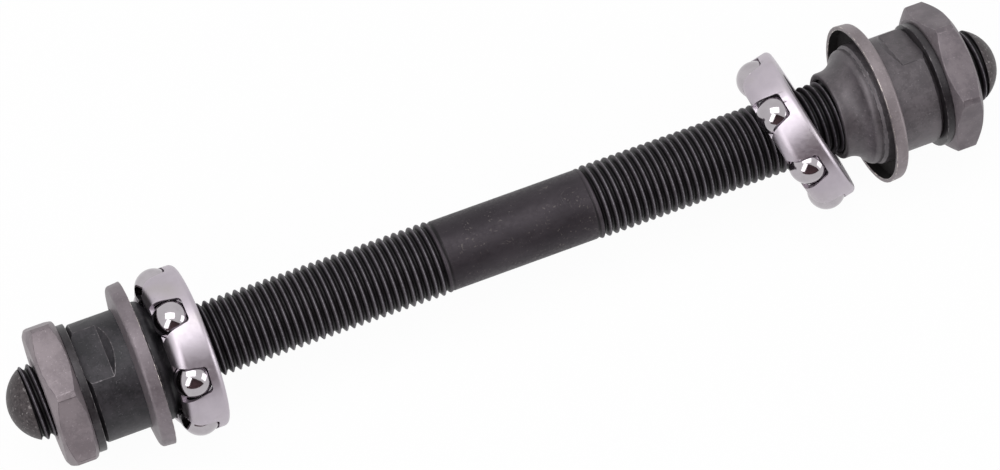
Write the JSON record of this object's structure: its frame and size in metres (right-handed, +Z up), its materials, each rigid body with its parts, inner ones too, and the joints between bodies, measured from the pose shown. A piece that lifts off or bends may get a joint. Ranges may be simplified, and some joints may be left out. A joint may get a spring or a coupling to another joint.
{
  "type": "bicycle front wheel axle",
  "caption": "Threaded wheel axle with domed ends, carrying a cone with a dust cover, a washer and a locknut at each end and caged ball bearings that slide between them.",
  "frame": {"origin": "middle of the axle's length, on its centre line", "axes": "+Y along the axle towards the end that carries the retainer standing off its cone, +Z up as the axle lies on a table, +X to its side"},
  "size_m": [0.021, 0.13, 0.021],
  "materials": {
    "axle_steel": "black oxide steel, worn lighter on the thread's crests",
    "cone_steel": "hardened steel, matte dark grey with fine scratches",
    "cover_steel": "pressed steel, matte warm grey, bright where the edge is worn",
    "washer_steel": "black oxide steel, slightly oily",
    "nut_steel": "matte warm grey steel with small dents",
    "cage_steel": "bright satin plated sheet",
    "ball_steel": "mirror polished"
  },
  "bodies": {
    "axle_body": {"axle": "axle_steel"},
    "left_washer_body": {"left_washer": "washer_steel"},
    "left_locknut_body": {"left_locknut": "nut_steel"},
    "left_cone_body": {"left_cone": "cone_steel", "left_dust_cover": "cover_steel"},
    "left_cage_body": {"left_cage": "cage_steel"},
    "left_ball_1_body": {"left_ball_1": "ball_steel"},
    "left_ball_2_body": {"left_ball_2": "ball_steel"},
    "left_ball_3_body": {"left_ball_3": "ball_steel"},
    "left_ball_4_body": {"left_ball_4": "ball_steel"},
    "left_ball_5_body": {"left_ball_5": "ball_steel"},
    "left_ball_6_body": {"left_ball_6": "ball_steel"},
    "left_ball_7_body": {"left_ball_7": "ball_steel"},
    "right_washer_body": {"right_washer": "washer_steel"},
    "right_locknut_body": {"right_locknut": "nut_steel"},
    "right_cone_body": {"right_cone": "cone_steel", "right_dust_cover": "cover_steel"},
    "right_cage_body": {"right_cage": "cage_steel"},
    "right_ball_1_body": {"right_ball_1": "ball_steel"},
    "right_ball_2_body": {"right_ball_2": "ball_steel"},
    "right_ball_3_body": {"right_ball_3": "ball_steel"},
    "right_ball_4_body": {"right_ball_4": "ball_steel"},
    "right_ball_5_body": {"right_ball_5": "ball_steel"},
    "right_ball_6_body": {"right_ball_6": "ball_steel"},
    "right_ball_7_body": {"right_ball_7": "ball_steel"}
  },
  "joints": [
    {"name": "left_washer_travel", "type": "slide", "parent": "axle_body", "child": "left_washer_body", "axis": [0, 1, 0], "range_m": [-0.00196, 0.00978]},
    {"name": "left_locknut_turn", "type": "hinge", "parent": "left_washer_body", "child": "left_locknut_body", "pos_m": [0, -0.0585, 0], "axis": [0, 1, 0], "range_deg": [-720, 3600]},
    {"name": "left_cone_turn", "type": "hinge", "parent": "left_washer_body", "child": "left_cone_body", "pos_m": [0, -0.0555, 0], "axis": [0, 1, 0], "range_deg": [-721, 3601]},
    {"name": "left_retainer_slide", "type": "slide", "parent": "left_washer_body", "child": "left_cage_body", "axis": [0, 1, 0], "range_m": [0, 0.027]},
    {"name": "left_ball_1_spin", "type": "hinge", "parent": "left_cage_body", "child": "left_ball_1_body", "pos_m": [0, -0.04364, 0.00815], "axis": [-0.0174, 0.9994, -0.0314], "continuous": true},
    {"name": "left_ball_2_spin", "type": "hinge", "parent": "left_cage_body", "child": "left_ball_2_body", "pos_m": [0.00652, -0.04362, 0.005], "axis": [-0.0174, 0.9994, -0.0314], "continuous": true},
    {"name": "left_ball_3_spin", "type": "hinge", "parent": "left_cage_body", "child": "left_ball_3_body", "pos_m": [0.00814, -0.04382, -0.00206], "axis": [-0.0174, 0.9994, -0.0314], "continuous": true},
    {"name": "left_ball_4_spin", "type": "hinge", "parent": "left_cage_body", "child": "left_ball_4_body", "pos_m": [0.00363, -0.04407, -0.00772], "axis": [-0.0174, 0.9994, -0.0314], "continuous": true},
    {"name": "left_ball_5_spin", "type": "hinge", "parent": "left_cage_body", "child": "left_ball_5_body", "pos_m": [-0.00362, -0.0442, -0.00772], "axis": [-0.0174, 0.9994, -0.0314], "continuous": true},
    {"name": "left_ball_6_spin", "type": "hinge", "parent": "left_cage_body", "child": "left_ball_6_body", "pos_m": [-0.00814, -0.0441, -0.00206], "axis": [-0.0174, 0.9994, -0.0314], "continuous": true},
    {"name": "left_ball_7_spin", "type": "hinge", "parent": "left_cage_body", "child": "left_ball_7_body", "pos_m": [-0.00653, -0.04385, 0.005], "axis": [-0.0174, 0.9994, -0.0314], "continuous": true},
    {"name": "right_washer_travel", "type": "slide", "parent": "axle_body", "child": "right_washer_body", "axis": [0, 1, 0], "range_m": [-0.00978, 0.00196]},
    {"name": "right_locknut_turn", "type": "hinge", "parent": "right_washer_body", "child": "right_locknut_body", "pos_m": [0, 0.0578, 0], "axis": [0, 1, 0], "range_deg": [-3600, 720]},
    {"name": "right_cone_turn", "type": "hinge", "parent": "right_washer_body", "child": "right_cone_body", "pos_m": [0, 0.0548, 0], "axis": [0, 1, 0], "range_deg": [-3601, 721]},
    {"name": "right_retainer_slide", "type": "slide", "parent": "right_washer_body", "child": "right_cage_body", "axis": [0, 1, 0], "range_m": [-0.024, 0]},
    {"name": "right_ball_1_spin", "type": "hinge", "parent": "right_cage_body", "child": "right_ball_1_body", "pos_m": [0.00094, 0.03421, 0.00718], "axis": [-0.0651, 0.9313, 0.3584], "continuous": true},
    {"name": "right_ball_2_spin", "type": "hinge", "parent": "right_cage_body", "child": "right_ball_2_body", "pos_m": [0.00713, 0.03594, 0.00382], "axis": [-0.0651, 0.9313, 0.3584], "continuous": true},
    {"name": "right_ball_3_spin", "type": "hinge", "parent": "right_cage_body", "child": "right_ball_3_body", "pos_m": [0.00806, 0.03857, -0.00286], "axis": [-0.0651, 0.9313, 0.3584], "continuous": true},
    {"name": "right_ball_4_spin", "type": "hinge", "parent": "right_cage_body", "child": "right_ball_4_body", "pos_m": [0.00304, 0.04014, -0.00784], "axis": [-0.0651, 0.9313, 0.3584], "continuous": true},
    {"name": "right_ball_5_spin", "type": "hinge", "parent": "right_cage_body", "child": "right_ball_5_body", "pos_m": [-0.00416, 0.03945, -0.00737], "axis": [-0.0651, 0.9313, 0.3584], "continuous": true},
    {"name": "right_ball_6_spin", "type": "hinge", "parent": "right_cage_body", "child": "right_ball_6_body", "pos_m": [-0.00811, 0.03703, -0.0018], "axis": [-0.0651, 0.9313, 0.3584], "continuous": true},
    {"name": "right_ball_7_spin", "type": "hinge", "parent": "right_cage_body", "child": "right_ball_7_body", "pos_m": [-0.00584, 0.0347, 0.00467], "axis": [-0.0651, 0.9313, 0.3584], "continuous": true}
  ],
  "couplings": [
    {"joint": "left_washer_travel", "follows": "left_locknut_turn", "m_per_rad": 0.00015548},
    {"joint": "left_cone_turn", "follows": "left_locknut_turn", "ratio": 1},
    {"joint": "right_washer_travel", "follows": "right_locknut_turn", "m_per_rad": 0.00015548},
    {"joint": "right_cone_turn", "follows": "right_locknut_turn", "ratio": 1}
  ]
}
